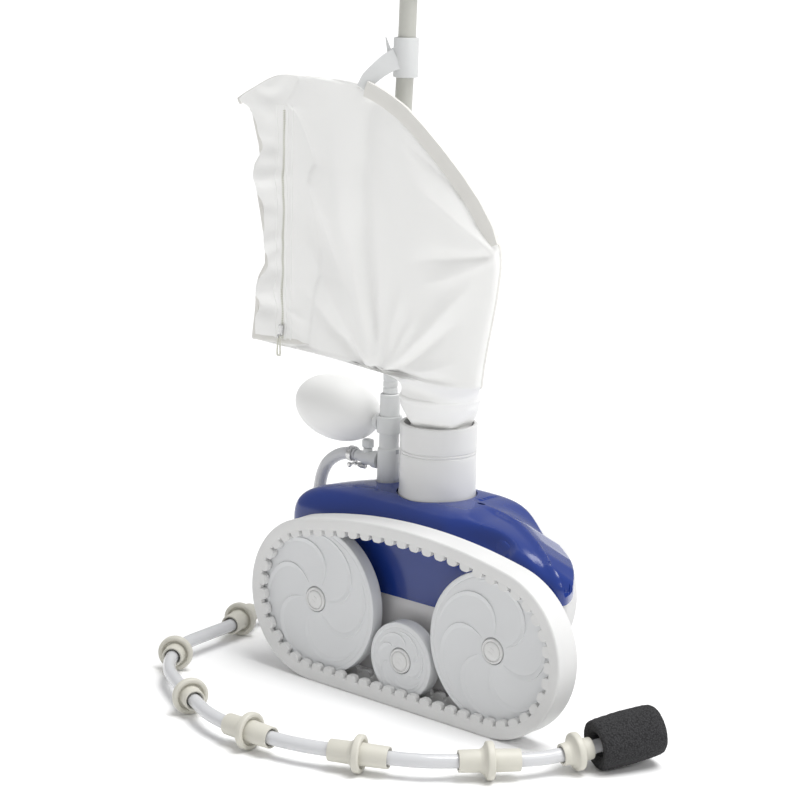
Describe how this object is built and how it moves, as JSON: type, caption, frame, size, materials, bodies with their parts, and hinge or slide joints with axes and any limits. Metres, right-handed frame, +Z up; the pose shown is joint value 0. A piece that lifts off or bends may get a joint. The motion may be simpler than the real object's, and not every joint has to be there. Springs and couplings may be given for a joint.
{
  "type": "pressure pool cleaner",
  "caption": "Wheeled pressure-side pool cleaner with tracked drive, blue shell, vacuum tube, net bag, float, feed hose and sweep hose with rings.",
  "frame": {"origin": "bottom centre of everything except the feed hose, the sweep hose and what sits on them, on the floor the track runs on", "axes": "+X towards the front of the cleaner, +Y from the track side towards the far wheel, +Z up"},
  "size_m": [0.5275, 0.3612, 0.6773],
  "materials": {
    "white_rubber": "matte moulded rubber",
    "grey_plastic": "matte moulded plastic",
    "white_plastic": "semi-gloss moulded plastic",
    "blue_shell": "high gloss",
    "bag_fabric": "satin mesh cloth",
    "hem_fabric": "woven tape",
    "steel": "plain stainless steel",
    "bearing_plastic": "plain moulded plastic",
    "hose_grey": "satin flexible plastic",
    "hose_clear": "milky flexible plastic",
    "ivory_plastic": "matte moulded plastic",
    "foam_black": "open-cell foam",
    "float_white": "smooth closed-cell moulding"
  },
  "bodies": {
    "body": {"track_belt": "white_rubber", "front_axle_pin": "steel", "rear_axle_pin": "steel", "centre_axle_pin": "steel", "far_axle_pin": "steel", "chassis": "grey_plastic", "top_shell": "blue_shell", "vacuum_tube": "white_plastic", "vacuum_jet_ring": "bearing_plastic", "water_distributor": "bearing_plastic", "turbine_feed_pipe": "hose_grey", "jet_feed_pipe": "hose_grey", "thrust_jet_seat": "bearing_plastic", "turbine_housing": "bearing_plastic", "turbine_cover": "bearing_plastic", "mast": "white_plastic", "hose_connector": "white_plastic", "sweep_valve_body": "white_plastic", "sweep_hose_clip": "steel", "bag": "bag_fabric", "bag_collar": "white_plastic", "bag_strap": "hem_fabric", "feed_hose": "hose_grey", "feed_hose_fitting": "white_plastic", "sweep_hose": "hose_clear", "wear_ring_1": "ivory_plastic", "wear_ring_2": "ivory_plastic", "wear_ring_3": "ivory_plastic", "wear_ring_4": "ivory_plastic", "wear_ring_5": "ivory_plastic", "wear_ring_6": "ivory_plastic", "wear_ring_7": "ivory_plastic", "tail_scrubber": "foam_black"},
    "front_wheel": {"front_wheel": "grey_plastic", "front_hub_cap": "grey_plastic", "front_wheel_bearing": "bearing_plastic"},
    "rear_wheel": {"rear_wheel": "grey_plastic", "rear_hub_cap": "grey_plastic", "rear_wheel_bearing": "bearing_plastic"},
    "centre_wheel": {"centre_wheel": "grey_plastic", "centre_hub_cap": "grey_plastic", "centre_wheel_bearing": "bearing_plastic"},
    "far_wheel": {"far_wheel": "grey_plastic", "far_wheel_tyre": "white_rubber", "far_hub_cap": "grey_plastic", "far_wheel_bearing": "bearing_plastic"},
    "turbine": {"turbine_wheel": "white_plastic", "turbine_shaft": "steel"},
    "float": {"float": "float_white", "float_clip": "white_plastic"},
    "valve_knob": {"sweep_valve_knob": "white_plastic"},
    "thrust_jet": {"thrust_jet_nozzle": "white_plastic"},
    "zip_slider": {"zip_slider": "steel"},
    "zip_pull": {"zip_pull": "steel"}
  },
  "joints": [
    {"name": "far_wheel_spin", "type": "hinge", "parent": "body", "child": "far_wheel", "pos_m": [0.03475, 0.07915, 0.077], "axis": [0, 1, 0], "continuous": true},
    {"name": "front_wheel_spin", "type": "hinge", "parent": "body", "child": "front_wheel", "pos_m": [0.14675, -0.07735, 0.0765], "axis": [0, 1, 0], "continuous": true},
    {"name": "rear_wheel_spin", "type": "hinge", "parent": "body", "child": "rear_wheel", "pos_m": [-0.06125, -0.07735, 0.0765], "axis": [0, 1, 0], "continuous": true},
    {"name": "centre_wheel_spin", "type": "hinge", "parent": "body", "child": "centre_wheel", "pos_m": [0.04275, -0.07735, 0.0423], "axis": [0, 1, 0], "continuous": true},
    {"name": "turbine_spin", "type": "hinge", "parent": "body", "child": "turbine", "pos_m": [0.06067, 0.00015, 0.04395], "axis": [0, 1, 0], "continuous": true},
    {"name": "float_turn", "type": "hinge", "parent": "body", "child": "float", "pos_m": [-0.04965, 0.00015, 0.236], "axis": [0, 0, 1], "range_deg": [-20, 20]},
    {"name": "valve_knob_turn", "type": "hinge", "parent": "body", "child": "valve_knob", "pos_m": [-0.07565, 0.00015, 0.208], "axis": [0, 0, 1], "range_deg": [0, 270]},
    {"name": "thrust_jet_swivel", "type": "hinge", "parent": "body", "child": "thrust_jet", "pos_m": [-0.07515, -0.02085, 0.058], "axis": [0, 0, 1], "range_deg": [-15, 15]},
    {"name": "zip_slide", "type": "slide", "parent": "body", "child": "zip_slider", "axis": [0, 0, 1], "range_m": [0, 0.15]},
    {"name": "zip_pull_swing", "type": "hinge", "parent": "zip_slider", "child": "zip_pull", "pos_m": [-0.15825, -0.03685, 0.303], "axis": [1, 0, 0], "range_deg": [-150, 0]}
  ],
  "couplings": [
    {"joint": "front_wheel_spin", "follows": "far_wheel_spin", "ratio": 1},
    {"joint": "rear_wheel_spin", "follows": "far_wheel_spin", "ratio": 1},
    {"joint": "centre_wheel_spin", "follows": "far_wheel_spin", "ratio": 2},
    {"joint": "turbine_spin", "follows": "far_wheel_spin", "ratio": 8}
  ]
}
